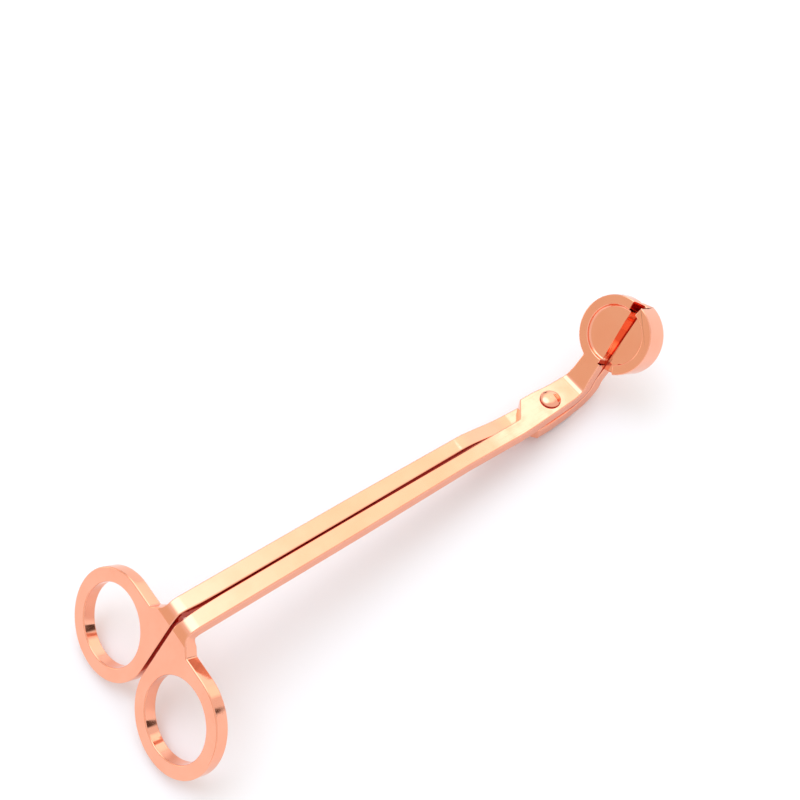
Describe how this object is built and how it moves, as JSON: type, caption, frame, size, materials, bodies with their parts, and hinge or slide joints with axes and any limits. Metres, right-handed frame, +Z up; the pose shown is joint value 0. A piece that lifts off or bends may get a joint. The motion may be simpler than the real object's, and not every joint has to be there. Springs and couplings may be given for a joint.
{
  "type": "candle wick trimmer",
  "caption": "Long-reach wick trimmer: two bent, mirror-plated steel levers on a rivet, with finger rings and a round rimmed cutting head.",
  "frame": {"origin": "middle of the underside of the closed trimmer as it lies on a table, on its ring tips and the outside of its neck bend", "axes": "+X from the finger rings to the cutting head, +Y to the side of the lower lever's ring, +Z up"},
  "size_m": [0.1802, 0.0616, 0.0302],
  "materials": {
    "lever_plating": "mirror-polished rose gold plating on steel",
    "rivet_plating": "mirror-polished rose gold plating on a steel rivet"
  },
  "bodies": {
    "lower_lever": {"lower_lever": "lever_plating", "pivot_rivet": "rivet_plating"},
    "upper_lever": {"upper_lever": "lever_plating"}
  },
  "joints": [
    {"name": "lever_pivot", "type": "hinge", "parent": "lower_lever", "child": "upper_lever", "pos_m": [0.05449, 0, 0.00925], "axis": [0.1601, 0, 0.9871], "range_deg": [0, 40]}
  ]
}
